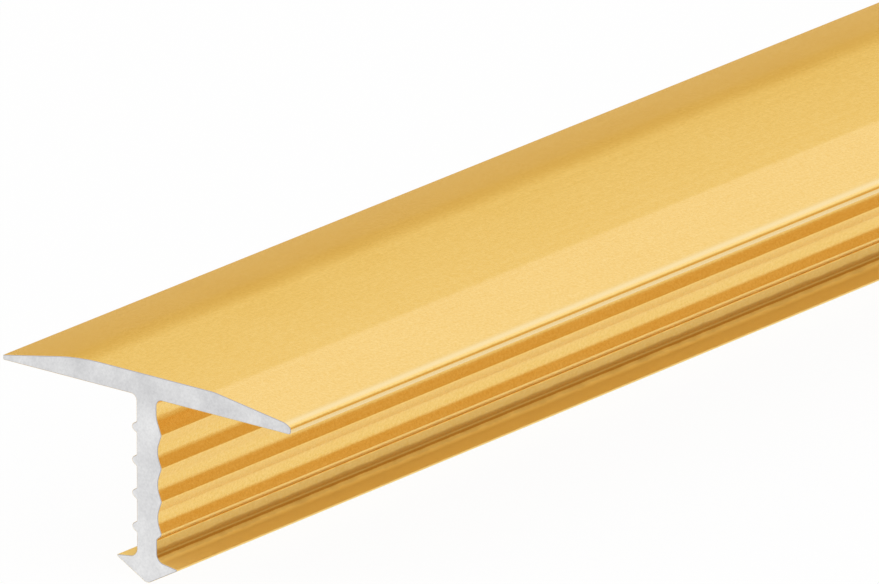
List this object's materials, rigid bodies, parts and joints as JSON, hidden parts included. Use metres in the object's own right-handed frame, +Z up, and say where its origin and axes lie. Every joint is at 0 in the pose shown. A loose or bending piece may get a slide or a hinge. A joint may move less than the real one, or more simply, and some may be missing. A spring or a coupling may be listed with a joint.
{
  "type": "threshold strip",
  "caption": "Long T-section aluminium strip, gold anodised, with a bevelled cap over a ribbed stem and a barbed foot, to bridge the joint between two floor coverings.",
  "frame": {"origin": "mid-length, on the centre line, at the height of the two flats under the cap, which is the finished floor level", "axes": "+Z up out of the floor, +Y along the strip, X across it"},
  "size_m": [0.026, 0.9, 0.0155],
  "materials": {
    "bare_aluminium": "sawn",
    "gold_anodised": "satin, gold anodised"
  },
  "bodies": {
    "root": {"cap": "bare_aluminium", "ribbed_stem": "bare_aluminium", "anchor_foot": "bare_aluminium", "anodised_film": "gold_anodised"}
  },
  "joints": []
}
